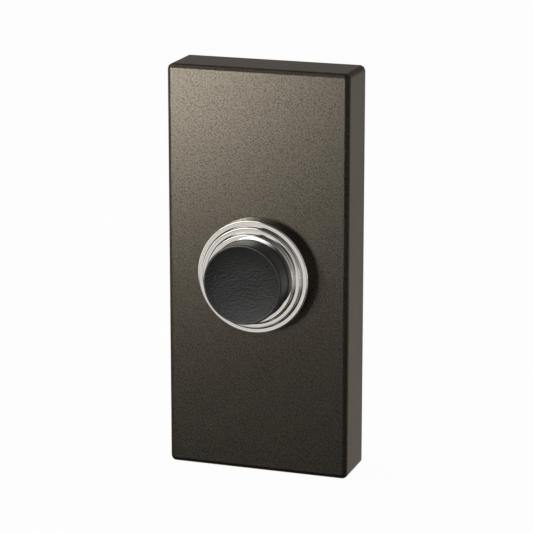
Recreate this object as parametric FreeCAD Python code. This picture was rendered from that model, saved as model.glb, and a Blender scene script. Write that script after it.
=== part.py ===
import FreeCAD, Part
import math
import os

# A doorbell push: a rectangular cover held on a steel wall plate, with a round spring button
# in a stepped collar that closes two bell-wire contacts. Sizes are in millimetres. The wall is
# the plane Y = 0, the front looks along -Y, +Z is up, and the button's axis runs through the
# origin. A depth is a distance out from the wall.

# Cover
cover_width = 32.0
cover_height = 70.0
cover_depth = 9.0
cover_corner_round = 1.0
cover_front_round = 0.85
cover_side_wall = 2.0
cover_front_wall = 2.0
cavity_corner_round = 1.5

# Push button
button_radius = 6.87
button_reach = 7.8
button_edge_chamfer = 0.2
button_dish_depth = 0.9
button_side_wall = 1.25
button_top_wall = 1.3
button_flange_width = 0.75
button_flange_thickness = 1.1
button_stem_radius = 1.75
press_travel = 1.5

# Collar round the button, with a barrel through the cover
barrel_wall = 1.28
barrel_stop_height = 0.3
collar_overhang = 0.77
collar_first_rise = 2.5
collar_step_count = 3
collar_step_width = 1.03
collar_step_rise = 0.75
collar_edge_chamfer = 0.16

# Washer and nut that clamp the collar from behind
washer_thickness = 0.5
washer_teeth = 12
washer_tooth_gap = 1.4
washer_tooth_depth = 0.8
nut_thickness = 2.0
nut_wall = 2.0

# Contact base, a moulding that is screwed to two posts of the cover
base_thickness = 1.4
base_side_margin = 1.0
base_corner_round = 3.0
base_edge_round = 0.3
spring_seat_depth = 0.3
arm_width = 9.2
arm_thickness = 1.8
arm_wall = 1.6
arm_end_margin = 1.5
ear_wall = 1.1
post_radius = 2.6
post_side_distance = 6.5
post_z = 13.5

# Countersunk screws of the contact base
base_screw_radius = 1.25
base_screw_head_radius = 2.3
base_screw_length = 5.0
drive_slot_width = 0.6
drive_slot_depth = 0.5

# Contacts
rivet_offset = 4.9
rivet_shank_radius = 0.8
rivet_head_radius = 1.3
rivet_head_height = 0.5
rivet_tail_height = 0.35
bridge_overhang = 0.9
bridge_thickness = 0.4
bridge_screw_radius = 0.8
bridge_screw_depth = 3.0
bridge_screw_head_radius = 1.7
bridge_screw_head_height = 0.6
strip_thickness = 0.4
strip_width = 4.4
strip_end_margin = 2.0
strip_bend = 0.3
pad_width = 6.0

# Terminals, one on each arm of the base
terminal_screw_radius = 1.25
terminal_head_radius = 2.25
terminal_head_height = 1.5
clamp_thickness = 0.6
clamp_lip_thickness = 0.5
clamp_lip_reach = 0.7
terminal_nut_flats = 5.0
terminal_nut_thickness = 1.2

# Return spring, a cone of wire between the base and the bridge
spring_wire_radius = 0.2
spring_wire_sides = 6
spring_turns = 2
spring_small_radius = 2.1
spring_large_radius = 3.0

# Wall plate, folded from sheet
plate_thickness = 1.2
plate_bend = 0.4
plate_rail_width = 4.2
window_height = 41.0
window_round = 2.0
wall_hole_spacing = 50.0
wall_hole_radius = 2.1
wall_countersink_radius = 2.8
tab_width = 11.0
tab_relief = 0.6
hook_depth = 4.4
hook_reach = 1.0
lock_tab_depth = 6.2

# Grub screw in the bottom edge, which pulls the cover onto the wall plate
grub_radius = 1.45
grub_length = 4.5
grub_recess = 0.3
grub_depth = 4.2
grub_point_radius = 0.4
grub_socket_flats = 1.5
grub_socket_depth = 1.6
grub_boss_half_width = 2.7
grub_boss_height = 1.6
lock_hole_radius = 1.0

# Clearances
running_clearance = 0.08
thread_clearance = 0.05
hole_clearance = 0.1
seat_clearance = 0.2
plate_clearance = 0.3
nut_clearance = 0.4
contact_clearance = 0.02

# Depths of the stack behind the cover's front wall, from the front backwards
inner_face = cover_depth - cover_front_wall
washer_back = inner_face - washer_thickness
nut_back = washer_back - nut_thickness
base_front = nut_back - nut_clearance
base_back = base_front - base_thickness
barrel_back = base_front + seat_clearance
barrel_stop = cover_depth + barrel_stop_height

# Depths of the moving pieces at rest
button_crest = cover_depth + button_reach
flange_back = barrel_stop - button_flange_thickness
rivet_front = base_front + rivet_head_height
spring_back = base_front - spring_seat_depth
bridge_back = rivet_front + press_travel + contact_clearance
bridge_front = bridge_back + bridge_thickness

# Radii round the button's axis
collar_bore_radius = button_radius + running_clearance
flange_radius = button_radius + button_flange_width
barrel_bore_radius = flange_radius + hole_clearance
barrel_radius = barrel_bore_radius + barrel_wall
collar_radius = barrel_radius + collar_overhang
cover_hole_radius = barrel_radius + thread_clearance
nut_flats = 2 * (barrel_radius + nut_wall)
washer_radius = nut_flats / 2 - hole_clearance
bridge_radius = rivet_offset + bridge_overhang

# Places on the base and its arms, which stand past the corners of the nut
post_x = cover_width / 2 - post_side_distance
ear_radius = base_screw_head_radius + ear_wall
arm_root = nut_flats / 2 / math.cos(math.pi / 6) + nut_clearance
arm_step = arm_root + arm_wall
terminal_offset = arm_step + strip_thickness + strip_bend + hole_clearance + pad_width / 2
arm_reach = terminal_offset + pad_width / 2 + arm_end_margin

# Depths of the base's arms and terminals
arm_front = inner_face - seat_clearance
arm_back = arm_front - arm_thickness
strip_back = base_back - strip_thickness
pad_back = arm_back - strip_thickness
clamp_back = pad_back - clamp_thickness
terminal_nut_back = arm_front - terminal_nut_thickness

# The wall plate fills the cavity, and its lower tab stands where the grub screw's point seats
plate_half_width = cover_width / 2 - cover_side_wall - plate_clearance
plate_half_height = cover_height / 2 - cover_side_wall - plate_clearance
grub_end = -cover_height / 2 + grub_recess
grub_cone = grub_end + grub_length - (grub_radius - grub_point_radius)
lock_tab_face = grub_cone + grub_radius - lock_hole_radius + thread_clearance

AXIS = FreeCAD.Vector(0, 1, 0)
OUTWARD = FreeCAD.Vector(0, -1, 0)
UP = FreeCAD.Vector(0, 0, 1)
SIDEWAYS = FreeCAD.Vector(1, 0, 0)


def at(x, depth, z):
    """Point at a distance out from the wall."""
    return FreeCAD.Vector(x, -depth, z)


def rounded_outline(corners, place):
    """Closed outline through corners (u, v, radius), each rounded by its own radius."""
    spots = [place(u, v) for u, v, _ in corners]
    edges = []
    first = None
    last = None
    for index, (_, _, radius) in enumerate(corners):
        corner = spots[index]
        start = end = corner
        if radius > 0:
            back = (spots[index - 1] - corner).normalize()
            onward = (spots[(index + 1) % len(spots)] - corner).normalize()
            half_angle = back.getAngle(onward) / 2
            start = corner + back * (radius / math.tan(half_angle))
            end = corner + onward * (radius / math.tan(half_angle))
            inward = (back + onward).normalize()
            middle = corner + inward * (radius / math.sin(half_angle) - radius)
        if last is not None:
            edges.append(Part.makeLine(last, start))
        if radius > 0:
            edges.append(Part.Arc(start, middle, end).toShape())
        first = first or start
        last = end
    edges.append(Part.makeLine(last, first))
    return Part.Wire(edges)


def turned(corners):
    """Solid of revolution round the button's axis from corners (radius, depth)."""
    outline = Part.makePolygon([at(radius, depth, 0) for radius, depth in corners + corners[:1]])
    return Part.Face(outline).revolve(at(0, 0, 0), AXIS, 360)


def ring(inner, outer, back, front):
    """Plain ring round the button's axis."""
    return turned([(inner, back), (outer, back), (outer, front), (inner, front)])


def pad(corners, back, front):
    """Flat piece whose outline of corners (x, z, round) is extruded between two depths."""
    outline = rounded_outline(corners, lambda x, z: at(x, back, z))
    return Part.Face(outline).extrude(OUTWARD * (front - back))


def crosswise(corners, width):
    """Piece whose outline of corners (z, depth, round) is extruded evenly to both sides."""
    outline = rounded_outline(corners, lambda z, depth: at(-width / 2, depth, z))
    return Part.Face(outline).extrude(SIDEWAYS * width)


def rectangle(half_width, half_height, radius, centre_z=0):
    """Corners of a rounded rectangle."""
    return [
        (-half_width, centre_z - half_height, radius),
        (half_width, centre_z - half_height, radius),
        (half_width, centre_z + half_height, radius),
        (-half_width, centre_z + half_height, radius),
    ]


def rod(x, z, radius, back, front):
    """Cylinder along the button's axis direction."""
    return Part.makeCylinder(radius, front - back, at(x, back, z), OUTWARD)


def cone(x, z, back_radius, front_radius, back, front):
    """Cone along the button's axis direction."""
    return Part.makeCone(back_radius, front_radius, front - back, at(x, back, z), OUTWARD)


def hexagon(flats, centre, direction, side, length):
    """Hexagonal prism, with one flat facing the given side."""
    corner_radius = flats / 2 / math.cos(math.pi / 6)
    across = direction.cross(side)
    points = []
    for step in range(7):
        angle = math.pi / 6 + step * math.pi / 3
        points.append(centre + (side * math.cos(angle) + across * math.sin(angle)) * corner_radius)
    return Part.Face(Part.makePolygon(points)).extrude(direction * length)


def folded_sheet(route, thickness, bend, width):
    """Strip of sheet bent along a route of (z, depth) points that its middle surface follows."""
    points = [FreeCAD.Vector(z, depth, 0) for z, depth in route]
    runs = [(b - a).normalize() for a, b in zip(points, points[1:])]
    normals = [FreeCAD.Vector(-run.y, run.x, 0) for run in runs]
    corners = []
    for side in (1, -1):
        offset = side * thickness / 2
        line = [points[0] + normals[0] * offset]
        rounds = [0]
        for index in range(1, len(runs)):
            before = normals[index - 1]
            after = normals[index]
            line.append(points[index] + (before + after) * (offset / (1 + before.dot(after))))
            turns_left = runs[index - 1].cross(runs[index]).z > 0
            inside = turns_left == (side > 0)
            rounds.append(bend if inside else bend + thickness)
        line.append(points[-1] + normals[-1] * offset)
        rounds.append(0)
        edge = [(point.x, point.y, radius) for point, radius in zip(line, rounds)]
        corners += edge if side > 0 else edge[::-1]
    return crosswise(corners, width)


def half_turn(shape):
    """Copy turned half way round the button's axis."""
    copy = shape.copy()
    copy.rotate(at(0, 0, 0), AXIS, 180)
    return copy


def both_ways(shape):
    """The shape and its copy half a turn round the button's axis."""
    return [shape, half_turn(shape)]


def make_cover():
    """Die-cast shell, open at the back, with a hole for the collar and three inner bosses."""
    half_width = cover_width / 2
    half_height = cover_height / 2
    shell = pad(rectangle(half_width, half_height, cover_corner_round), 0, cover_depth)
    front_edges = [edge for edge in shell.Edges if edge.BoundBox.YMax < -cover_depth / 2]
    shell = shell.makeFillet(cover_front_round, front_edges)
    cavity_x = half_width - cover_side_wall
    cavity_z = half_height - cover_side_wall
    shell = shell.cut(pad(rectangle(cavity_x, cavity_z, cavity_corner_round), 0, inner_face))

    posts = both_ways(rod(post_x, post_z, post_radius, base_front, inner_face))
    boss_top = -cavity_z + grub_boss_height
    boss_back = grub_depth - grub_boss_half_width
    grub_boss = pad(
        [
            (-grub_boss_half_width, -cavity_z, 0),
            (grub_boss_half_width, -cavity_z, 0),
            (grub_boss_half_width, boss_top, 0),
            (-grub_boss_half_width, boss_top, 0),
        ],
        boss_back,
        inner_face,
    )
    shell = shell.fuse(posts + [grub_boss]).removeSplitter()

    screw_end = base_back + base_screw_length + seat_clearance
    pilot = rod(post_x, post_z, base_screw_radius + thread_clearance, base_front, screw_end)
    barrel_hole = rod(0, 0, cover_hole_radius, inner_face, cover_depth)
    grub_hole = Part.makeCylinder(
        grub_radius + thread_clearance,
        boss_top + half_height,
        at(0, grub_depth, -half_height),
        UP,
    )
    hook_room = Part.makeBox(
        tab_width + 2 * plate_clearance,
        plate_thickness + 2 * plate_clearance,
        hook_reach,
        at(-tab_width / 2 - plate_clearance, hook_depth + plate_thickness / 2 + plate_clearance, cavity_z),
    )
    return shell.cut(both_ways(pilot) + [barrel_hole, grub_hole, hook_room])


def make_mounting_plate():
    """Wall plate with a wiring window, two wall-screw holes, a top hook and a bottom tab."""
    corner = cavity_corner_round - plate_clearance
    sheet = pad(rectangle(plate_half_width, plate_half_height, corner), 0, plate_thickness)
    window_x = plate_half_width - plate_rail_width
    window = pad(rectangle(window_x, window_height / 2, window_round), 0, plate_thickness)
    relief_x = tab_width / 2 + tab_relief
    fold = plate_bend + plate_thickness
    top_relief = pad(rectangle(relief_x, fold, 0, plate_half_height), 0, plate_thickness)
    lower_reach = lock_tab_face + fold + plate_half_height
    bottom_relief = pad(
        rectangle(relief_x, lower_reach, 0, -plate_half_height), 0, plate_thickness
    )
    sheet = sheet.cut([window, top_relief, bottom_relief])

    middle = plate_thickness / 2
    hook_tip = cover_height / 2 - cover_side_wall + hook_reach - plate_clearance
    hook = folded_sheet(
        [
            (plate_half_height - 2 * fold, middle),
            (plate_half_height - middle, middle),
            (plate_half_height - middle, hook_depth),
            (hook_tip, hook_depth),
        ],
        plate_thickness,
        plate_bend,
        tab_width,
    )
    lock_tab = folded_sheet(
        [
            (lock_tab_face + 2 * fold, middle),
            (lock_tab_face + middle, middle),
            (lock_tab_face + middle, lock_tab_depth),
        ],
        plate_thickness,
        plate_bend,
        tab_width,
    )
    sheet = sheet.fuse([hook, lock_tab]).removeSplitter()

    sink = wall_countersink_radius - wall_hole_radius
    hole_z = wall_hole_spacing / 2
    hole = rod(0, hole_z, wall_hole_radius, 0, plate_thickness)
    countersink = cone(
        0, hole_z, wall_hole_radius, wall_countersink_radius, plate_thickness - sink, plate_thickness
    )
    lock_hole = Part.makeCylinder(
        lock_hole_radius, plate_thickness, at(0, grub_depth, lock_tab_face), UP
    )
    return sheet.cut(both_ways(hole) + both_ways(countersink) + [lock_hole])


def make_grub_screw():
    """Set screw with a hexagon socket and a cone point."""
    start = at(0, grub_depth, grub_end)
    shank_length = grub_cone - grub_end
    point_length = grub_radius - grub_point_radius
    shank = Part.makeCylinder(grub_radius, shank_length, start, UP)
    tip = at(0, grub_depth, grub_cone)
    point = Part.makeCone(grub_radius, grub_point_radius, point_length, tip, UP)
    socket = hexagon(grub_socket_flats, start, UP, SIDEWAYS, grub_socket_depth)
    return shank.fuse(point).removeSplitter().cut(socket)


def make_collar():
    """Turned and plated ring with a stepped front and a barrel that passes through the cover."""
    corners = [
        (collar_bore_radius, barrel_stop),
        (barrel_bore_radius, barrel_stop),
        (barrel_bore_radius, barrel_back),
        (barrel_radius, barrel_back),
        (barrel_radius, cover_depth),
    ]
    root = cover_depth
    for step in range(collar_step_count):
        radius = collar_radius - step * collar_step_width
        face = cover_depth + collar_first_rise + step * collar_step_rise
        corners.append((radius, root))
        corners.append((radius, face - collar_edge_chamfer))
        corners.append((radius - collar_edge_chamfer, face))
        root = face
    corners.append((collar_bore_radius, face))
    return turned(corners)


def make_lock_washer():
    """Washer with internal teeth that bite the nut and the cover."""
    inner = barrel_radius + hole_clearance
    washer = ring(inner, washer_radius, washer_back, inner_face)
    half_gap = washer_tooth_gap / 2
    gap_end = inner + washer_tooth_depth
    corners = [(-half_gap, 0, 0), (half_gap, 0, 0), (half_gap, gap_end, 0), (-half_gap, gap_end, 0)]
    gap = pad(corners, washer_back, inner_face)
    gaps = []
    for index in range(washer_teeth):
        turned_gap = gap.copy()
        turned_gap.rotate(at(0, 0, 0), AXIS, index * 360 / washer_teeth)
        gaps.append(turned_gap)
    return washer.cut(gaps)


def make_lock_nut():
    """Thin hexagon nut on the collar's barrel, with flats to the cover's sides."""
    nut = hexagon(nut_flats, at(0, nut_back, 0), OUTWARD, SIDEWAYS, nut_thickness)
    return nut.cut(rod(0, 0, barrel_radius + thread_clearance, nut_back, washer_back))


def make_contact_base():
    """Moulding that carries the contacts, with an arm above and below for the terminals."""
    half_width = post_x + base_side_margin
    plate = pad(rectangle(half_width, arm_root, base_corner_round), base_back, base_front)
    ear = rod(post_x, post_z, ear_radius, base_back, base_front)
    arm = crosswise(
        [
            (arm_root, base_back, 0),
            (arm_step, base_back, base_edge_round),
            (arm_step, arm_back, 0),
            (arm_reach, arm_back, 0),
            (arm_reach, arm_front, 0),
            (arm_root, arm_front, 0),
        ],
        arm_width,
    )
    body = plate.fuse(both_ways(ear) + both_ways(arm)).removeSplitter()

    screw_hole = rod(post_x, post_z, base_screw_radius + hole_clearance, base_back, base_front)
    sink_radius = base_screw_head_radius + thread_clearance
    countersink = cone(post_x, post_z, sink_radius, 0, base_back, base_back + sink_radius)
    rivet_hole = rod(0, rivet_offset, rivet_shank_radius + thread_clearance, base_back, base_front)
    terminal_hole = rod(0, terminal_offset, terminal_screw_radius + hole_clearance, arm_back, arm_front)
    nut_half = terminal_nut_flats / 2 + hole_clearance
    nut_pocket = pad(rectangle(nut_half, nut_half, 0, terminal_offset), terminal_nut_back, arm_front)
    seat_radius = spring_large_radius + spring_wire_radius + hole_clearance
    cuts = [rod(0, 0, seat_radius, spring_back, base_front)]
    for cut in (screw_hole, countersink, rivet_hole, terminal_hole, nut_pocket):
        cuts += both_ways(cut)
    return body.cut(cuts)


def make_base_screw():
    """Countersunk screw from the base into the cover's upper post."""
    head = cone(
        post_x, post_z, base_screw_head_radius, 0, base_back, base_back + base_screw_head_radius
    )
    shank = rod(post_x, post_z, base_screw_radius, base_back, base_back + base_screw_length)
    slot = Part.makeBox(
        2 * base_screw_head_radius,
        drive_slot_depth,
        drive_slot_width,
        at(post_x - base_screw_head_radius, base_back + drive_slot_depth, post_z - drive_slot_width / 2),
    )
    return head.fuse(shank).removeSplitter().cut(slot)


def make_contact_strip():
    """Brass strip from the upper rivet to the upper terminal, bent round the base's step."""
    middle = strip_back + strip_thickness / 2
    pad_middle = arm_back - strip_thickness / 2
    pad_half = pad_width / 2
    strip = folded_sheet(
        [
            (rivet_offset - strip_end_margin, middle),
            (arm_step + strip_thickness / 2, middle),
            (arm_step + strip_thickness / 2, pad_middle),
            (terminal_offset + pad_half, pad_middle),
        ],
        strip_thickness,
        strip_bend,
        strip_width,
    )
    terminal_pad = pad(rectangle(pad_half, pad_half, 0, terminal_offset), pad_back, arm_back)
    rivet_hole = rod(0, rivet_offset, rivet_shank_radius + thread_clearance, strip_back, base_back)
    screw_hole = rod(0, terminal_offset, terminal_screw_radius + hole_clearance, pad_back, arm_back)
    return strip.fuse(terminal_pad).removeSplitter().cut([rivet_hole, screw_hole])


def make_contact_rivet():
    """Solid rivet through strip and base, whose head is the fixed contact."""
    head = rod(0, rivet_offset, rivet_head_radius, base_front, rivet_front)
    shank = rod(0, rivet_offset, rivet_shank_radius, strip_back - rivet_tail_height, base_front)
    return head.fuse(shank)


def make_terminal_screw():
    """Slotted cheese-head screw that clamps a bell wire."""
    head_back = clamp_back - terminal_head_height
    head = rod(0, terminal_offset, terminal_head_radius, head_back, clamp_back)
    shank = rod(0, terminal_offset, terminal_screw_radius, clamp_back, arm_front)
    slot = Part.makeBox(
        2 * terminal_head_radius,
        drive_slot_depth,
        drive_slot_width,
        at(-terminal_head_radius, head_back + drive_slot_depth, terminal_offset - drive_slot_width / 2),
    )
    return head.fuse(shank).cut(slot)


def make_terminal_clamp():
    """Square clamp with two lips that straddle the strip's pad."""
    lip_inner = pad_width / 2 + hole_clearance
    lip_outer = lip_inner + clamp_lip_thickness
    half = pad_width / 2
    plate = pad(
        [
            (-lip_outer, terminal_offset - half, 0),
            (lip_outer, terminal_offset - half, 0),
            (lip_outer, terminal_offset + half, 0),
            (-lip_outer, terminal_offset + half, 0),
        ],
        clamp_back,
        pad_back,
    )
    lips = []
    for side in (-1, 1):
        lips.append(
            pad(
                [
                    (side * lip_inner, terminal_offset - half, 0),
                    (side * lip_outer, terminal_offset - half, 0),
                    (side * lip_outer, terminal_offset + half, 0),
                    (side * lip_inner, terminal_offset + half, 0),
                ],
                pad_back,
                pad_back + min(clamp_lip_reach, strip_thickness),
            )
        )
    hole = rod(0, terminal_offset, terminal_screw_radius + hole_clearance, clamp_back, pad_back)
    return plate.fuse(lips).removeSplitter().cut(hole)


def make_terminal_nut():
    """Square nut held in the arm's pocket."""
    half = terminal_nut_flats / 2
    nut = pad(rectangle(half, half, 0, terminal_offset), terminal_nut_back, arm_front)
    bore = terminal_screw_radius + thread_clearance
    return nut.cut(rod(0, terminal_offset, bore, terminal_nut_back, arm_front))


def make_return_spring():
    """Conical compression spring, its small end on the bridge and its ends ground flat."""
    height = bridge_back - spring_back
    slope = math.degrees(math.atan((spring_large_radius - spring_small_radius) / height))
    helix = Part.makeHelix(height / spring_turns, height, spring_small_radius, slope)
    corners = []
    for side in range(spring_wire_sides + 1):
        angle = 2 * math.pi * side / spring_wire_sides
        across = spring_small_radius + spring_wire_radius * math.cos(angle)
        corners.append(FreeCAD.Vector(across, 0, spring_wire_radius * math.sin(angle)))
    coil = Part.Wire(helix).makePipeShell([Part.makePolygon(corners)], True, True)
    coil = coil.common(Part.makeCylinder(spring_large_radius + 2 * spring_wire_radius, height))
    coil.rotate(FreeCAD.Vector(0, 0, 0), SIDEWAYS, -90)
    coil.translate(at(0, bridge_back, 0))
    return coil


def make_push_button():
    """Moulded cap, hollow behind, with a thumb dish, a stop flange and a stem for the bridge."""
    cavity_radius = button_radius - button_side_wall
    ceiling = button_crest - button_dish_depth - button_top_wall
    rim_radius = button_radius - button_edge_chamfer
    body = turned(
        [
            (0, bridge_front),
            (button_stem_radius, bridge_front),
            (button_stem_radius, ceiling),
            (cavity_radius, ceiling),
            (cavity_radius, flange_back),
            (flange_radius, flange_back),
            (flange_radius, barrel_stop),
            (button_radius, barrel_stop),
            (button_radius, button_crest - button_edge_chamfer),
            (rim_radius, button_crest),
            (0, button_crest),
        ]
    )
    dish_radius = (rim_radius**2 + button_dish_depth**2) / (2 * button_dish_depth)
    dish = Part.makeSphere(dish_radius, at(0, button_crest - button_dish_depth + dish_radius, 0), UP)
    pilot_end = bridge_front + bridge_screw_depth
    pilot = rod(0, 0, bridge_screw_radius + thread_clearance, bridge_front, pilot_end)
    return body.cut([dish, pilot])


def make_contact_bridge():
    """Brass disc on the button's stem that joins the two rivets when it is pressed."""
    return ring(bridge_screw_radius + thread_clearance, bridge_radius, bridge_back, bridge_front)


def make_bridge_screw():
    """Cheese-head screw that holds the bridge to the stem."""
    head_back = bridge_back - bridge_screw_head_height
    head = rod(0, 0, bridge_screw_head_radius, head_back, bridge_back)
    shank = rod(0, 0, bridge_screw_radius, bridge_back, bridge_front + bridge_screw_depth - seat_clearance)
    return head.fuse(shank)


pieces = {
    "cover": make_cover(),
    "mounting_plate": make_mounting_plate(),
    "grub_screw": make_grub_screw(),
    "collar": make_collar(),
    "lock_washer": make_lock_washer(),
    "lock_nut": make_lock_nut(),
    "contact_base": make_contact_base(),
    "return_spring": make_return_spring(),
    "push_button": make_push_button(),
    "contact_bridge": make_contact_bridge(),
    "bridge_screw": make_bridge_screw(),
}
paired = {
    "base_screw": make_base_screw(),
    "contact_strip": make_contact_strip(),
    "contact_rivet": make_contact_rivet(),
    "terminal_screw": make_terminal_screw(),
    "terminal_clamp": make_terminal_clamp(),
    "terminal_nut": make_terminal_nut(),
}
for name, shape in paired.items():
    pieces[name + "_upper"] = shape
    pieces[name + "_lower"] = half_turn(shape)

os.makedirs("parts", exist_ok=True)
for name, shape in pieces.items():
    shape.exportStep(f"parts/{name}.step")
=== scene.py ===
import math

import bmesh
import bpy
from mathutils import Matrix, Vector


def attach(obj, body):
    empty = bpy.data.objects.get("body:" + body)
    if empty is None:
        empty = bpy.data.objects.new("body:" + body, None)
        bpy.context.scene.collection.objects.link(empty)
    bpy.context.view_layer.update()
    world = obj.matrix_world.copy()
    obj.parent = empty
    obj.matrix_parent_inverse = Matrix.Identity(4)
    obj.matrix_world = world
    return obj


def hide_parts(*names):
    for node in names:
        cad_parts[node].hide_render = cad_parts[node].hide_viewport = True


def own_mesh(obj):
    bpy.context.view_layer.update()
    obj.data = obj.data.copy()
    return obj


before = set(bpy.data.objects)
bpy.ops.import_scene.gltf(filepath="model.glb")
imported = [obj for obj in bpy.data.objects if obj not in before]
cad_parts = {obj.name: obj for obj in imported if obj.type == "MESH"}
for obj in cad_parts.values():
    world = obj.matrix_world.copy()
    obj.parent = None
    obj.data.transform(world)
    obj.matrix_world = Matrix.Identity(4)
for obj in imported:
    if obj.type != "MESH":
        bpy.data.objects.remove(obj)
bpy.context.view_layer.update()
MM = 0.001


# Wall plate. It is pressed from steel sheet and plated with bright zinc, and two screws hold it
# to the wall. Its upper hook carries the cover and its lower tab takes the grub screw's point.
# The same plating is on the small screws, clamps, nuts and the toothed washer.

ZINC = (0.60, 0.61, 0.63, 1)
ZINC_DULL = (0.47, 0.485, 0.52, 1)
ZINC_ROUGHNESS = (0.24, 0.42)
ROLLING_DEPTH = 0.01 * MM
PLATE_LINES = 0.9
SMALL_PIECE_LINES = 0.4
SPECK_FINENESS = 14.0


def node(tree, kind, inputs=None, **settings):
    """Adds a node with its settings, and its inputs as values or as links from other nodes."""
    made = tree.nodes.new(kind)
    for key, value in settings.items():
        setattr(made, key, value)
    for key, value in (inputs or {}).items():
        if isinstance(value, bpy.types.NodeSocket):
            tree.links.new(value, made.inputs[key])
        else:
            made.inputs[key].default_value = value
    return made


def maths(tree, operation, *numbers, **settings):
    """Works out one number from others."""
    inputs = dict(enumerate(numbers))
    return node(tree, "ShaderNodeMath", inputs, operation=operation, **settings).outputs[0]


def spread(tree, mask, low, high, start=0.0, end=1.0):
    """Number that goes from low to high as a mask goes from start to end."""
    inputs = {"Value": mask, "From Min": start, "From Max": end, "To Min": low, "To Max": high}
    return node(tree, "ShaderNodeMapRange", inputs).outputs["Result"]


def between(tree, mask, low, high):
    """Colour that goes from low to high with a mask."""
    ramp = node(tree, "ShaderNodeValToRGB", {"Fac": mask})
    ramp.color_ramp.elements[0].color = low
    ramp.color_ramp.elements[1].color = high
    return ramp.outputs["Color"]


def noise(tree, place, scale, detail, roughness=0.5):
    """Cloudy pattern, finer with a larger scale."""
    inputs = {"Vector": place, "Scale": scale, "Detail": detail, "Roughness": roughness}
    return node(tree, "ShaderNodeTexNoise", inputs).outputs["Fac"]


def effect(name, takes, gives):
    """Starts a shared effect as a node group, with its named inputs and outputs."""
    group = bpy.data.node_groups.new(name, "ShaderNodeTree")
    for key, (kind, value) in takes.items():
        made = group.interface.new_socket(key, in_out="INPUT", socket_type="NodeSocket" + kind)
        if value is not None:
            made.default_value = value
    for key, kind in gives.items():
        group.interface.new_socket(key, in_out="OUTPUT", socket_type="NodeSocket" + kind)
    inside = group.nodes.new("NodeGroupInput").outputs
    return group, inside, group.nodes.new("NodeGroupOutput").inputs


def put_on(tree, shared, place, **values):
    """Places a shared effect in a material with its own values."""
    inputs = {"Vector": place, **values}
    return node(tree, "ShaderNodeGroup", inputs, node_tree=shared).outputs[0]


def finish(name, metallic, roughness, **more):
    """Starts a material; more sets the shader's plain values."""
    material = bpy.data.materials.new(name)
    material.use_nodes = True
    tree = material.node_tree
    shader = tree.nodes["Principled BSDF"]
    shader.inputs["Metallic"].default_value = metallic
    shader.inputs["Roughness"].default_value = roughness
    for key, value in more.items():
        shader.inputs[key.replace("_", " ")].default_value = value
    place = node(tree, "ShaderNodeTexCoord").outputs["Object"]
    return material, tree, shader.inputs, place


def wear(tree, shader, mask, clean, dull, roughness):
    """Takes the surface from its clean colour and roughness to its dull ones with a mask."""
    tree.links.new(between(tree, mask, clean, dull), shader["Base Color"])
    tree.links.new(spread(tree, mask, *roughness), shader["Roughness"])


def relief(tree, shader, height, depth, strength=1.0):
    """Raises the surface by a height pattern, up to a depth."""
    inputs = {"Height": height, "Strength": strength, "Distance": depth}
    bump = node(tree, "ShaderNodeBump", inputs)
    tree.links.new(bump.outputs["Normal"], shader["Normal"])


def dress(material, slot, *names):
    """Gives CAD pieces their material."""
    for name in names:
        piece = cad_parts[name]
        piece.data.materials.clear()
        piece.data.materials.append(material)


# Smudges and fine dust, as soft clouds with small specks in them
handling, takes, gives = effect(
    "handling",
    {"Vector": ("Vector", None), "Size": ("Float", 90.0), "Specks": ("Float", 0.3)},
    {"Mask": "Float"},
)
clouds = noise(handling, takes["Vector"], takes["Size"], 4.0)
clouds = spread(handling, clouds, 0.0, 1.0, 0.25, 0.8)
speck_size = maths(handling, "MULTIPLY", takes["Size"], SPECK_FINENESS)
specks = noise(handling, takes["Vector"], speck_size, 2.0)
specks = spread(handling, specks, 0.0, 1.0, 0.5, 0.8)
specks = maths(handling, "MULTIPLY", specks, takes["Specks"])
both = maths(handling, "ADD", clouds, specks, use_clamp=True)
handling.links.new(both, gives["Mask"])

# Rolling lines of sheet and strip, long along Z
rolling, takes, gives = effect(
    "rolling", {"Vector": ("Vector", None), "Lines": ("Float", 3000.0)}, {"Height": "Float"}
)
along = node(rolling, "ShaderNodeMapping", {"Vector": takes["Vector"], "Scale": (1.0, 1.0, 0.03)})
rolling.links.new(noise(rolling, along.outputs[0], takes["Lines"], 3.0), gives["Height"])


def rolled_metal(name, bright, dull, roughness, lines, clouds=90.0):
    """Metal that is dulled in clouds by handling, over the lines of its rolling."""
    material, tree, shader, place = finish(name, 1.0, 0.3)
    wear(tree, shader, put_on(tree, handling, place, Size=clouds), bright, dull, roughness)
    relief(tree, shader, put_on(tree, rolling, place), ROLLING_DEPTH, lines)
    return material


zinc_sheet = rolled_metal("zinc_sheet", ZINC, ZINC_DULL, ZINC_ROUGHNESS, PLATE_LINES)
zinc_turned = rolled_metal("zinc_turned", ZINC, ZINC_DULL, ZINC_ROUGHNESS, SMALL_PIECE_LINES)
dress(zinc_sheet, "wall_plate", "mounting_plate")
small_zinc = ["lock_washer", "bridge_screw"]
for kind in ("base_screw_", "terminal_screw_", "terminal_clamp_", "terminal_nut_"):
    small_zinc += [kind + side for side in ("upper", "lower")]
dress(zinc_turned, "plated_steel", *small_zinc)


# Cover. It is die-cast in zinc alloy as a shell that is open at the back, with soft corners, and
# has a dark bronze coat with a fine texture on its front. Two posts carry the contact base, a
# boss takes the grub screw, and a pocket inside the top wall takes the wall plate's hook.

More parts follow.
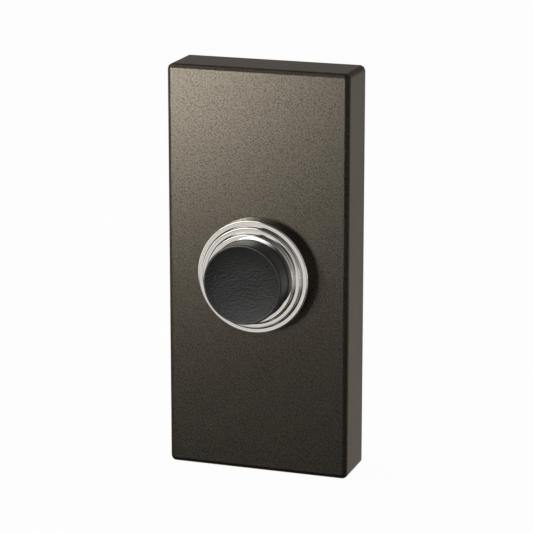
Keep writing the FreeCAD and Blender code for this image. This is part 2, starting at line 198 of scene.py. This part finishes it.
COVER_WIDTH = 32.0 * MM
COVER_HEIGHT = 70.0 * MM
COVER_DEPTH = 9.0 * MM
COVER_WALL = 2.0 * MM
COVER_INSIDE = 7.0 * MM
COVER_CORNER = 1.0 * MM
COVER_FRONT_ROUND = 0.85 * MM
CAVITY_CORNER = 1.5 * MM
ROUND_STEPS = 8
POST_RADIUS = 2.6 * MM
POST_X = 9.5 * MM
POST_Z = 13.5 * MM
POST_BACK = 4.1 * MM
PILOT_RADIUS = 1.3 * MM
PILOT_END = 7.9 * MM
BARREL_HOLE = 9.05 * MM
GRUB_DEPTH = 4.2 * MM
GRUB_HOLE = 1.5 * MM
GRUB_BOSS = 2.7 * MM
GRUB_BOSS_TOP = -31.4 * MM
HOOK_POCKET = ((-5.8 * MM, -5.3 * MM, 32.5 * MM), (5.8 * MM, -3.5 * MM, 34.0 * MM))
SUNK = 0.5 * MM  # how far a post or boss goes into the wall that carries it
PAST = 1.0 * MM  # how far a cutting tool reaches past the wall
BRONZE = (0.065, 0.057, 0.0453, 1)
# painted shade: the darker bronze given to the hollows of the coat's grain
BRONZE_HOLLOW_SHADE = (0.029, 0.025, 0.0193, 1)
BRONZE_SHEEN = (0.66, 0.64, 0.61, 1)
COAT_ROUGHNESS = (0.30, 0.34)
COAT_LUMPS = 10000.0
COAT_LEAN = (1.0, 1.0, 2.4)
COAT_DEPTH = 0.009 * MM
SIDE_GRAIN = 0.12
GRAIN_TURN = math.radians(52)


def select_edges(choose):
    """Selects the edges that choose(start, end) picks by their place."""
    bpy.ops.mesh.select_all(action="DESELECT")
    mesh = bmesh.from_edit_mesh(bpy.context.object.data)
    for edge in mesh.edges:
        if choose(edge.verts[0].co, edge.verts[1].co):
            edge.select_set(True)
    bmesh.update_edit_mesh(bpy.context.object.data)


def round_edges(choose, offset):
    """Rounds the edges of the new block that choose picks."""
    bpy.ops.object.mode_set(mode="EDIT")
    bpy.ops.mesh.select_mode(type="EDGE")
    select_edges(choose)
    bpy.ops.mesh.bevel(offset=offset, segments=ROUND_STEPS, affect="EDGES")
    bpy.ops.object.mode_set(mode="OBJECT")


def block(name, low, high, corner=0.0):
    """Box between two points, its four edges along the depth rounded."""
    bpy.ops.object.select_all(action="DESELECT")
    low, high = Vector(low), Vector(high)
    bpy.ops.mesh.primitive_cube_add(size=1, location=(low + high) / 2, scale=high - low)
    bpy.ops.object.transform_apply(location=True, rotation=True, scale=True)
    piece = bpy.context.object
    piece.name = name
    if corner:
        round_edges(lambda a, b: abs(a.y - b.y) > (high.y - low.y) / 2, corner)
    return piece


def rod(name, centre, radius, start, end, sides=64, upright=False):
    """Rod along the depth at centre (x, z), or an upright one at centre (x, depth)."""
    bpy.ops.object.select_all(action="DESELECT")
    middle = (start + end) / 2
    place = (centre[0], centre[1], middle) if upright else (centre[0], middle, centre[1])
    turned = (0, 0, 0) if upright else (math.pi / 2, 0, 0)
    bpy.ops.mesh.primitive_cylinder_add(
        vertices=sides, radius=radius, depth=abs(end - start), location=place, rotation=turned
    )
    bpy.ops.object.transform_apply(location=True, rotation=True, scale=True)
    bpy.context.object.name = name
    return bpy.context.object


def join_with(piece, tools, operation="DIFFERENCE"):
    """Cuts tools out of a piece, or adds them to it."""
    for tool in tools:
        modifier = piece.modifiers.new(tool.name, "BOOLEAN")
        modifier.operation = operation
        modifier.object = tool
        modifier.solver = "EXACT"
        bpy.ops.object.select_all(action="DESELECT")
        bpy.context.view_layer.objects.active = piece
        piece.select_set(True)
        bpy.ops.object.modifier_apply(modifier=modifier.name)
        bpy.data.objects.remove(tool)


def soften(piece, angle=32, flat=0.9999):
    """Shades a piece smooth with its real edges crisp.

    Faces across the depth, within flat, and faces along it keep their own true normal, and the
    rounds beside them bend up to it.
    """
    bpy.ops.object.select_all(action="DESELECT")
    bpy.context.view_layer.objects.active = piece
    piece.select_set(True)
    bpy.ops.object.shade_smooth_by_angle(angle=math.radians(angle))
    upright = 0.0001
    close = math.radians(12)
    mesh = piece.data
    true_faces = [[] for vertex in mesh.vertices]
    for face in mesh.polygons:
        if abs(face.normal.y) > flat or abs(face.normal.y) < upright:
            for index in face.vertices:
                true_faces[index].append(face)
    normals = [corner.vector.copy() for corner in mesh.corner_normals]
    for face in mesh.polygons:
        for corner, index in zip(face.loop_indices, face.vertices):
            near = [true for true in true_faces[index] if true.normal.angle(face.normal) < close]
            if near:
                total = sum((true.normal * true.area for true in near), Vector())
                normals[corner] = total.normalized()
    mesh.normals_split_custom_set(normals)


cover = block(
    "cover_shell",
    (-COVER_WIDTH / 2, -COVER_DEPTH, -COVER_HEIGHT / 2),
    (COVER_WIDTH / 2, 0, COVER_HEIGHT / 2),
    COVER_CORNER,
)
round_edges(lambda a, b: max(a.y, b.y) < -COVER_DEPTH + 0.01 * MM, COVER_FRONT_ROUND)
inside_x = COVER_WIDTH / 2 - COVER_WALL
inside_z = COVER_HEIGHT / 2 - COVER_WALL
cavity = block(
    "cavity",
    (-inside_x, -COVER_INSIDE, -inside_z),
    (inside_x, COVER_WALL, inside_z),
    CAVITY_CORNER,
)
join_with(cover, [cavity])
post_places = [(POST_X, POST_Z), (-POST_X, -POST_Z)]
posts = [
    rod("post", place, POST_RADIUS, -POST_BACK, -COVER_INSIDE - SUNK) for place in post_places
]
boss = block(
    "boss",
    (-GRUB_BOSS, -COVER_INSIDE - SUNK, -inside_z - SUNK),
    (GRUB_BOSS, -GRUB_DEPTH + GRUB_BOSS, GRUB_BOSS_TOP),
)
join_with(cover, posts + [boss], "UNION")
pilots = [
    rod("pilot", place, PILOT_RADIUS, -POST_BACK + PAST, -PILOT_END) for place in post_places
]
barrel_hole = rod(
    "barrel_hole", (0, 0), BARREL_HOLE, -COVER_INSIDE + PAST, -COVER_DEPTH - PAST, sides=128
)
grub_hole = rod(
    "grub_hole",
    (0, -GRUB_DEPTH),
    GRUB_HOLE,
    -COVER_HEIGHT / 2 - PAST,
    GRUB_BOSS_TOP + PAST,
    upright=True,
)
hook_pocket = block("hook_pocket", *HOOK_POCKET)
join_with(cover, pilots + [barrel_hole, grub_hole, hook_pocket])
soften(cover)

# Fine grain, as small lumps that lean one way
grain, takes, gives = effect(
    "grain",
    {"Vector": ("Vector", None), "Lumps": ("Float", 2600.0), "Lean": ("Vector", (1.0, 1.0, 1.0))},
    {"Height": "Float"},
)
leaning = node(
    grain,
    "ShaderNodeMapping",
    {"Vector": takes["Vector"], "Rotation": (0.0, GRAIN_TURN, 0.0), "Scale": takes["Lean"]},
    vector_type="TEXTURE",
).outputs[0]
lumps = noise(grain, leaning, takes["Lumps"], 2.5, 0.55)
cell_size = maths(grain, "MULTIPLY", takes["Lumps"], 0.75)
cells = node(
    grain, "ShaderNodeTexVoronoi", {"Vector": leaning, "Scale": cell_size}, feature="SMOOTH_F1"
)
grain.links.new(maths(grain, "SUBTRACT", lumps, cells.outputs["Distance"]), gives["Height"])

# The coat's colour is darker in the hollows of its grain, which is painted shade, and its sides
# are smoother than its front
coat, tree, shader, place = finish("bronze_coat", 0.95, 0.33, Specular_Tint=BRONZE_SHEEN)
marks = put_on(tree, handling, place, Size=60.0)
tree.links.new(spread(tree, marks, *COAT_ROUGHNESS), shader["Roughness"])
texture = put_on(tree, grain, place, Lumps=COAT_LUMPS, Lean=COAT_LEAN)
# Painted shade: the hollows of the grain take the darker bronze and the raised lumps the lighter
# one
raised_lit = spread(tree, texture, 0.0, 1.0, -0.15, 0.35)
tree.links.new(between(tree, raised_lit, BRONZE_HOLLOW_SHADE, BRONZE), shader["Base Color"])
depth = node(tree, "ShaderNodeSeparateXYZ", {"Vector": place}).outputs["Y"]
front_end = -COVER_DEPTH + 0.25 * MM
side_start = -COVER_DEPTH + 0.9 * MM
on_front = spread(tree, depth, 1.0, SIDE_GRAIN, front_end, side_start)
relief(tree, shader, maths(tree, "MULTIPLY", texture, on_front), COAT_DEPTH)
cover.data.materials.append(coat)
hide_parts("cover")
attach(cover, "housing")


# Contact base. It is moulded in black phenolic, and two countersunk screws hold it to the
# cover's posts. An arm above and below carries a terminal.

PHENOLIC = (0.034, 0.032, 0.030, 1)
PHENOLIC_DUSTY = (0.060, 0.057, 0.053, 1)
PHENOLIC_ROUGHNESS = (0.32, 0.5)
FLOW_DEPTH = 0.02 * MM

moulding, tree, shader, place = finish("black_phenolic", 0.0, 0.38)
marks = put_on(tree, handling, place, Size=140.0, Specks=0.6)
wear(tree, shader, marks, PHENOLIC, PHENOLIC_DUSTY, PHENOLIC_ROUGHNESS)
relief(tree, shader, noise(tree, place, 700.0, 3.0), FLOW_DEPTH, 0.5)
dress(moulding, "contact_base", "contact_base")


# Contacts. Two strips and the moving bridge are cut from rolled brass, and solid brass rivets
# fix the strips to the base. A rivet's head is the fixed contact and is left bright.

BRASS = (0.78, 0.60, 0.29, 1)
BRASS_TARNISHED = (0.52, 0.37, 0.17, 1)
STRIP_ROUGHNESS = (0.24, 0.42)
STRIP_LINES = 0.8
RIVET = (0.82, 0.68, 0.42, 1)
RIVET_TARNISHED = (0.66, 0.50, 0.27, 1)
RIVET_ROUGHNESS = (0.16, 0.3)
RIVET_LINES = 0.2
TARNISH_CLOUDS = 170.0

strip_brass = rolled_metal(
    "strip_brass", BRASS, BRASS_TARNISHED, STRIP_ROUGHNESS, STRIP_LINES, TARNISH_CLOUDS
)
rivet_brass = rolled_metal(
    "rivet_brass", RIVET, RIVET_TARNISHED, RIVET_ROUGHNESS, RIVET_LINES, TARNISH_CLOUDS
)
dress(strip_brass, "contact_brass", "contact_strip_upper", "contact_strip_lower", "contact_bridge")
dress(rivet_brass, "contact_rivet", "contact_rivet_upper", "contact_rivet_lower")


# Return spring. It is coiled from bright spring wire as a cone, with a closed turn at each end
# that is ground flat. Its wide end sits in the base and its narrow end pushes on the bridge.

SPRING_BACK = 3.8 * MM
SPRING_FRONT = 6.12 * MM
SPRING_WIRE = 0.2 * MM
SPRING_GROUND = 0.65 * SPRING_WIRE  # from a ground end to the middle of its wire
SPRING_WIDE = 3.0 * MM
SPRING_NARROW = 2.1 * MM
SPRING_TURNS = 4.0
SPRING_CLOSED = 0.75
WIRE_GREY = (0.62, 0.61, 0.60, 1)
WIRE_BRIGHT = (0.74, 0.73, 0.72, 1)
WIRE_ROUGHNESS = (0.16, 0.3)


def spring_line(steps_per_turn=24):
    """Points of the wire from the wide end to the narrow one."""
    open_turns = SPRING_TURNS - 2 * SPRING_CLOSED
    rise = SPRING_FRONT - SPRING_BACK - 2 * SPRING_GROUND
    points = []
    for step in range(int(SPRING_TURNS * steps_per_turn) + 1):
        turns = step / steps_per_turn
        climbed = min(max(turns - SPRING_CLOSED, 0), open_turns) / open_turns
        angle = 2 * math.pi * turns
        radius = SPRING_WIDE + (SPRING_NARROW - SPRING_WIDE) * turns / SPRING_TURNS
        depth = SPRING_BACK + SPRING_GROUND + rise * climbed
        points.append((radius * math.cos(angle), -depth, radius * math.sin(angle), 1))
    return points


wire = bpy.data.curves.new("return_spring_wire", "CURVE")
wire.dimensions = "3D"
wire.bevel_depth = SPRING_WIRE
wire.bevel_resolution = 4
wire.use_fill_caps = True
line = wire.splines.new("POLY")
spring_points = spring_line()
line.points.add(len(spring_points) - 1)
for point, spot in zip(line.points, spring_points):
    point.co = spot
spring = bpy.data.objects.new("spring_coil", wire)
bpy.context.scene.collection.objects.link(spring)
bpy.ops.object.select_all(action="DESELECT")
bpy.context.view_layer.objects.active = spring
spring.select_set(True)
bpy.ops.object.convert(target="MESH")
spring = bpy.context.object
bpy.ops.object.mode_set(mode="EDIT")
for depth, outward in ((SPRING_BACK, 1), (SPRING_FRONT, -1)):
    bpy.ops.mesh.select_all(action="SELECT")
    bpy.ops.mesh.bisect(
        plane_co=(0, -depth, 0),
        plane_no=(0, outward, 0),
        use_fill=True,
        clear_outer=True,
        clear_inner=False,
    )
bpy.ops.object.mode_set(mode="OBJECT")
soften(spring, 50)

spring_steel, tree, shader, place = finish("spring_steel", 1.0, 0.2)
wear(tree, shader, noise(tree, place, 1800.0, 2.0), WIRE_GREY, WIRE_BRIGHT, WIRE_ROUGHNESS)
spring.data.materials.append(spring_steel)
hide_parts("return_spring")
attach(spring, "housing")
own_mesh(spring)


# Collar. It is turned from brass bar with three steps round the button, polished and chromed,
# and its barrel passes through the cover. The lock nut behind is turned from the same bar and
# left bare.

COLLAR_BORE = 6.91 * MM
BARREL_BORE = 7.72 * MM
BARREL_RADIUS = 9.0 * MM
BARREL_BACK = 4.3 * MM
BARREL_STOP = 9.3 * MM
COLLAR_RADII = (9.77 * MM, 8.74 * MM, 7.71 * MM)
COLLAR_FACES = (11.5 * MM, 12.25 * MM, 13.0 * MM)
COLLAR_SLOPE = 0.03 * MM
COLLAR_EDGE_ROUND = 0.24 * MM
COLLAR_BORE_ROUND = 0.05 * MM
COLLAR_ROOT_WIDTH = 0.26 * MM
COLLAR_ROOT_DEPTH = 0.05 * MM
TURNED_SIDES = 160
SAME_SPOT = 0.0005 * MM
ON_RING = 0.005 * MM
CHROME = (0.90, 0.885, 0.86, 1)
CHROME_HAZE = (0.70, 0.68, 0.65, 1)
CHROME_ROUGHNESS = (0.035, 0.065)
CHROME_DEPTH = 0.0004 * MM
BRASS_CUT = (0.60, 0.44, 0.20, 1)
BRASS_CUT_ROUGHNESS = (0.2, 0.34)
BRASS_CUT_DEPTH = 0.004 * MM


def turn(name, profile):
    """Draws a circle out ring by ring round the button's axis, along (radius, depth) points."""
    bpy.ops.object.select_all(action="DESELECT")
    radius, depth = profile[0]
    bpy.ops.mesh.primitive_circle_add(
        vertices=TURNED_SIDES, radius=radius, location=(0, -depth, 0), rotation=(math.pi / 2, 0, 0)
    )
    bpy.ops.object.transform_apply(location=True, rotation=True, scale=True)
    piece = bpy.context.object
    piece.name = name
    bpy.ops.object.mode_set(mode="EDIT")
    bpy.ops.mesh.select_mode(type="EDGE")
    bpy.ops.mesh.select_all(action="SELECT")
    for next_radius, next_depth in profile[1:]:
        forward = {"value": (0, depth - next_depth, 0)}
        bpy.ops.mesh.extrude_region_move(TRANSFORM_OT_translate=forward)
        grow = next_radius / radius
        bpy.ops.transform.resize(value=(grow, 1, grow), center_override=(0, -next_depth, 0))
        radius, depth = next_radius, next_depth
    return piece


def off_axis(spot):
    """Distance of a spot from the button's axis."""
    return math.hypot(spot.x, spot.z)


def merge_seams():
    """Merges the points that lie on one spot."""
    bpy.ops.mesh.select_all(action="SELECT")
    bpy.ops.mesh.remove_doubles(threshold=SAME_SPOT)


def round_rings(rings, offset, segments):
    """Rounds the edges that run round the axis at each (radius, depth)."""

    def on_ring(spot):
        return any(
            abs(off_axis(spot) - radius) < ON_RING and abs(spot.y + depth) < ON_RING
            for radius, depth in rings
        )

    select_edges(lambda a, b: on_ring(a) and on_ring(b) and abs(a.y - b.y) < 0.001 * MM)
    bpy.ops.mesh.bevel(offset=offset, segments=segments, affect="EDGES")


def close_turning():
    """Merges the seams and points all faces outward."""
    merge_seams()
    bpy.ops.mesh.normals_make_consistent(inside=False)
    bpy.ops.object.mode_set(mode="OBJECT")


collar_profile = [
    (BARREL_BORE, BARREL_STOP),
    (BARREL_BORE, BARREL_BACK),
    (BARREL_RADIUS, BARREL_BACK),
    (BARREL_RADIUS, COVER_DEPTH),
    (COLLAR_RADII[0], COVER_DEPTH),
    (COLLAR_RADII[0], COLLAR_FACES[0] - COLLAR_SLOPE),
]
for radius, root, face in zip(COLLAR_RADII[1:], COLLAR_FACES, COLLAR_FACES[1:]):
    collar_profile += [
        (radius + COLLAR_ROOT_WIDTH, root),
        (radius, root - COLLAR_ROOT_DEPTH),
        (radius, face - COLLAR_SLOPE),
    ]
bore_edge = (COLLAR_BORE, COLLAR_FACES[-1])
collar_profile += [bore_edge, (COLLAR_BORE, BARREL_STOP), collar_profile[0]]
collar = turn("collar_chromed", collar_profile)
merge_seams()
step_edges = [(radius, face - COLLAR_SLOPE) for radius, face in zip(COLLAR_RADII, COLLAR_FACES)]
round_rings(step_edges, COLLAR_EDGE_ROUND, 6)
round_rings([bore_edge], COLLAR_BORE_ROUND, 3)
close_turning()
soften(collar, flat=0.995)

# Fine lines of a lathe tool, as rings round the button's axis
lathe, takes, gives = effect(
    "lathe", {"Vector": ("Vector", None), "Lines": ("Float", 4000.0)}, {"Height": "Float"}
)


def axis_distance(tree, place):
    """Distance of a place from the button's axis, in a material."""
    flat = {0: place, 1: (1.0, 0.0, 1.0)}
    across = node(tree, "ShaderNodeVectorMath", flat, operation="MULTIPLY").outputs[0]
    return node(tree, "ShaderNodeVectorMath", {0: across}, operation="LENGTH").outputs["Value"]


spaced = maths(lathe, "MULTIPLY", axis_distance(lathe, takes["Vector"]), takes["Lines"])
lines = node(
    lathe,
    "ShaderNodeTexNoise",
    {"W": spaced, "Scale": 1.0, "Detail": 2.0},
    noise_dimensions="1D",
)
lathe.links.new(lines.outputs["Fac"], gives["Height"])


def turned_metal(name, bright, dull, roughness, depth):
    """Metal with lathe lines and light smudges."""
    material, tree, shader, place = finish(name, 1.0, 0.1)
    marks = put_on(tree, handling, place, Size=120.0)
    tree.links.new(spread(tree, marks, *roughness), shader["Roughness"])
    cutting = put_on(tree, lathe, place)
    ridges = spread(tree, cutting, 0.0, 1.0, 0.3, 0.7)
    tree.links.new(between(tree, ridges, dull, bright), shader["Base Color"])
    relief(tree, shader, cutting, depth)
    return material


chrome = turned_metal("polished_chrome", CHROME, CHROME_HAZE, CHROME_ROUGHNESS, CHROME_DEPTH)
bare_brass = turned_metal("turned_brass", BRASS, BRASS_CUT, BRASS_CUT_ROUGHNESS, BRASS_CUT_DEPTH)
collar.data.materials.append(chrome)
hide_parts("collar")
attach(collar, "housing")
dress(bare_brass, "lock_nut", "lock_nut")


# Push button. It is moulded in black plastic as a hollow cap, with a thumb dish that has a fine
# leather grain and a smooth satin side. A flange behind the collar stops it, and the bridge is
# screwed to its stem.

BUTTON_RADIUS = 6.87 * MM
BUTTON_CREST = 16.8 * MM
BUTTON_DISH = 0.9 * MM
BUTTON_RIM = 6.67 * MM
BUTTON_EDGE_ROUND = 0.33 * MM
FLANGE_RADIUS = 7.62 * MM
FLANGE_BACK = 8.2 * MM
FLANGE_EDGE_ROUND = 0.15 * MM
BUTTON_INSIDE = 5.62 * MM
BUTTON_CEILING = 14.6 * MM
STEM_RADIUS = 1.75 * MM
STEM_BACK = 6.52 * MM
STEM_PILOT = 0.85 * MM
STEM_PILOT_END = 9.52 * MM
DISH_RINGS = 16
PLASTIC = (0.008, 0.008, 0.0077, 1)
PLASTIC_GREY = (0.012, 0.012, 0.0116, 1)
FACE_ROUGHNESS = 0.38
SIDE_ROUGHNESS = 0.36
SIDE_POLISH = 0.75
LEATHER_LUMPS = 6200.0
LEATHER_LEAN = (1.0, 1.0, 2.0)
LEATHER_DEPTH = 0.085 * MM

button_profile = []
for ring in range(1, DISH_RINGS + 1):
    radius = BUTTON_RIM * ring / DISH_RINGS
    sunk = BUTTON_DISH * (1 - (radius / BUTTON_RIM) ** 3)
    button_profile.append((radius, BUTTON_CREST - sunk))
button_profile += [
    (BUTTON_RADIUS, BUTTON_CREST),
    (BUTTON_RADIUS, BARREL_STOP),
    (FLANGE_RADIUS, BARREL_STOP),
    (FLANGE_RADIUS, FLANGE_BACK),
    (BUTTON_INSIDE, FLANGE_BACK),
    (BUTTON_INSIDE, BUTTON_CEILING),
    (STEM_RADIUS, BUTTON_CEILING),
    (STEM_RADIUS, STEM_BACK),
    (STEM_PILOT, STEM_BACK),
    (STEM_PILOT, STEM_PILOT_END),
]
button = turn("button_cap", button_profile)
bpy.ops.mesh.edge_face_add()
dish_middle = button_profile[0][0] + 0.01 * MM
select_edges(
    lambda a, b: max(off_axis(a), off_axis(b)) < dish_middle and a.y < -BUTTON_CEILING
)
bpy.ops.mesh.edge_face_add()
round_rings([(BUTTON_RADIUS, BUTTON_CREST)], BUTTON_EDGE_ROUND, 6)
round_rings([(FLANGE_RADIUS, FLANGE_BACK)], FLANGE_EDGE_ROUND, 2)
close_turning()
soften(button)

plastic, tree, shader, place = finish(
    "black_plastic", 0.0, 0.3, Specular_IOR_Level=0.14, Coat_Roughness=0.36
)
marks = put_on(tree, handling, place, Size=160.0)
tree.links.new(between(tree, marks, PLASTIC, PLASTIC_GREY), shader["Base Color"])
depth = node(tree, "ShaderNodeSeparateXYZ", {"Vector": place}).outputs["Y"]
rim_start = BUTTON_RIM - 0.25 * MM
rim_end = BUTTON_RIM + 0.05 * MM
in_dish = spread(tree, axis_distance(tree, place), 1.0, 0.0, rim_start, rim_end)
in_front = spread(tree, depth, 1.0, 0.0, -BUTTON_CEILING - 0.2 * MM, -BUTTON_CEILING)
on_face = maths(tree, "MULTIPLY", in_dish, in_front)
tree.links.new(spread(tree, on_face, SIDE_ROUGHNESS, FACE_ROUGHNESS), shader["Roughness"])
tree.links.new(spread(tree, on_face, SIDE_POLISH, 0.0), shader["Coat Weight"])
leather = put_on(tree, grain, place, Lumps=LEATHER_LUMPS, Lean=LEATHER_LEAN)
relief(tree, shader, maths(tree, "MULTIPLY", leather, on_face), LEATHER_DEPTH)
button.data.materials.append(plastic)
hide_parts("push_button")
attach(button, "button")


# Grub screw. It is blackened steel with a hexagon socket, and goes into the cover's bottom edge
# to pull the cover onto the wall plate.

BLACKENED = (0.075, 0.072, 0.07, 1)
BLACKENED_WORN = (0.13, 0.12, 0.11, 1)
BLACKENED_ROUGHNESS = (0.34, 0.5)

blackened, tree, shader, place = finish("blackened_steel", 0.9, 0.4)
marks = put_on(tree, handling, place, Size=300.0)
wear(tree, shader, marks, BLACKENED, BLACKENED_WORN, BLACKENED_ROUGHNESS)
dress(blackened, "grub_screw", "grub_screw")


# Studio. The push stands on a plain white floor in front of white paper. Its metal shows that
# paper at the sides and, in front, a dark room with two white cards that give the dark coat and
# the chrome their long highlights.

FLOOR_SIZE = 3.0
FLOOR_Z = -COVER_HEIGHT / 2 - 0.05 * MM
FLOOR_GREY = (0.86, 0.86, 0.86, 1)
FLOOR_LIFT = 0.97
WHITE = (1, 1, 1, 1)
STUDIO_TINT = (1.0, 0.965, 0.92, 1)
LOW_CARD_WAY = (-0.316, -0.912, -0.26)
LOW_CARD_LEVEL = 0.74
LEFT_CARD_LEVEL = 1.15
ROOM_DIM = 0.14
ROOM_LIT = 0.42


def seen_as(tree, elsewhere, shown):
    """Shows one shader to the camera and through glass, and the other to all else."""
    rays = node(tree, "ShaderNodeLightPath").outputs
    seen = maths(tree, "MAXIMUM", rays["Is Camera Ray"], rays["Is Transmission Ray"])
    inputs = {0: seen, 1: elsewhere.outputs[0], 2: shown.outputs[0]}
    return node(tree, "ShaderNodeMixShader", inputs).outputs[0]


bpy.ops.object.select_all(action="DESELECT")
bpy.ops.mesh.primitive_plane_add(size=FLOOR_SIZE, location=(0, 0, FLOOR_Z))
floor = bpy.context.object
floor.name = "floor"
bpy.ops.object.transform_apply(location=True, rotation=True, scale=True)
paper = bpy.data.materials.new("white_floor")
paper.use_nodes = True
tree = paper.node_tree
tree.nodes.clear()
matt = node(tree, "ShaderNodeBsdfDiffuse", {"Color": FLOOR_GREY})
glow = node(tree, "ShaderNodeEmission", {"Color": WHITE, "Strength": 1.0})
lifted = node(
    tree, "ShaderNodeMixShader", {0: FLOOR_LIFT, 1: matt.outputs[0], 2: glow.outputs[0]}
)
node(tree, "ShaderNodeOutputMaterial", {"Surface": seen_as(tree, matt, lifted)})
floor.data.materials.append(paper)
floor.visible_glossy = False

world = bpy.data.worlds.new("white_studio")
bpy.context.scene.world = world
world.use_nodes = True
tree = world.node_tree
tree.nodes.clear()
toward = node(tree, "ShaderNodeTexCoord").outputs["Generated"]
way = node(tree, "ShaderNodeSeparateXYZ", {"Vector": toward}).outputs


def level(axis, low, high, start, end):
    """Light that goes from low to high as a direction's X, Y or Z goes from start to end."""
    return spread(tree, way[axis], low, high, start, end)


def all_of(*levels):
    """Light where all the levels have it."""
    light = levels[0]
    for other in levels[1:]:
        light = maths(tree, "MULTIPLY", light, other)
    return light


def any_of(*levels):
    """Light where any of the levels has it."""
    light = levels[0]
    for other in levels[1:]:
        light = maths(tree, "MAXIMUM", light, other)
    return light


# White paper behind the push, lighter below the level of the eye
paper_light = all_of(level("Y", 0.03, 1.0, -0.1, 0.4), level("Z", 1.0, 0.4, -0.1, 0.25))

# Round card low on the left in front, which the flats of the collar's steps show
aside = {0: toward, 1: LOW_CARD_WAY}
aside = node(tree, "ShaderNodeVectorMath", aside, operation="DISTANCE").outputs["Value"]
low_card = spread(tree, aside, LOW_CARD_LEVEL, 0.0, 0.12, 0.17)

# Large card high on the left, with a slanted lower edge towards the front
slanted = spread(tree, maths(tree, "MULTIPLY_ADD", way["X"], -0.5, way["Z"]), 0.0, 1.0, 0.08, 0.2)
beside = all_of(slanted, level("Y", 0.0, 1.0, -0.78, -0.7))
left_card = all_of(
    any_of(beside, level("Z", 0.0, 1.0, 0.14, 0.24)),
    level("X", 0.0, 1.0, -0.12, -0.2),
    level("Y", LEFT_CARD_LEVEL, 0.0, 0.0, 0.3),
)

# Room at the front right, dim in its middle and lighter low down and far to the right
room = all_of(
    level("X", 0.0, 1.0, -0.2, 0.0),
    level("Z", 0.0, 1.0, -0.42, -0.3),
    any_of(
        level("Z", ROOM_LIT, ROOM_DIM, -0.15, 0.05), level("X", ROOM_DIM, ROOM_LIT, 0.35, 0.6)
    ),
    level("Y", 1.0, 0.0, -0.3, 0.1),
)
total = any_of(paper_light, low_card, room, left_card)
studio = node(tree, "ShaderNodeBackground", {"Color": STUDIO_TINT, "Strength": total})
white = node(tree, "ShaderNodeBackground", {"Color": WHITE, "Strength": 1.0})
node(tree, "ShaderNodeOutputWorld", {"Surface": seen_as(tree, studio, white)})


# Lamps. A large soft window stands high on the left. A near lamp at the left front fades down
# the cover and a wider one lights the button, and both are kept off the chrome, which would
# show them as hard spots. A small window at the right is for the chrome alone.

FRONT_AIM = (0, -0.009, 0.01)


def window_light(name, place, aim, size, power, shape="RECTANGLE", only=()):
    """Soft window of light at a place, turned to an aim, that may be kept to some pieces."""
    lamp = bpy.data.lights.new(name, "AREA")
    lamp.shape = shape
    lamp.size = lamp.size_y = size
    lamp.energy = power
    holder = bpy.data.objects.new(name, lamp)
    holder.location = place
    holder.rotation_euler = (Vector(aim) - Vector(place)).to_track_quat("-Z", "Y").to_euler()
    bpy.context.scene.collection.objects.link(holder)
    if only:
        lit = bpy.data.collections.new(name + "_lights")
        for piece in only:
            lit.objects.link(piece)
        holder.light_linking.receiver_collection = lit


window_light("window_left_top", (-0.55, -0.08, 0.60), (0, 0, 0), size=0.55, power=1.0)
window_light(
    "window_right", (0.56, -0.19, -0.02), (0, 0, 0), size=0.16, power=0.1, only=[collar]
)
window_light(
    "near_left_front",
    (-0.128, -0.239, 0.0215),
    FRONT_AIM,
    size=0.08,
    power=0.67,
    shape="DISK",
    only=[cover],
)
window_light(
    "soft_left_front",
    (-0.122, -0.222, 0.085),
    FRONT_AIM,
    size=0.27,
    power=1.12,
    shape="DISK",
    only=[button],
)


# Camera. It stands at the photograph's viewing angle, a little above the push and to its right,
# and the distance and lens give the photograph's perspective and framing.

CAMERA_PLACE = (0.13711, -0.40838, 0.11321)
CAMERA_AIM = (0.000316, -0.005, 0.0003)
CAMERA_LENS = 175.2

lens = bpy.data.cameras.new("photo_view")
lens.lens = CAMERA_LENS
lens.clip_start = 0.01
camera = bpy.data.objects.new("photo_view", lens)
camera.location = CAMERA_PLACE
sight = Vector(CAMERA_AIM) - Vector(CAMERA_PLACE)
camera.rotation_euler = sight.to_track_quat("-Z", "Y").to_euler()
bpy.context.scene.collection.objects.link(camera)
bpy.context.scene.camera = camera
bpy.context.scene.view_settings.view_transform = "Standard"
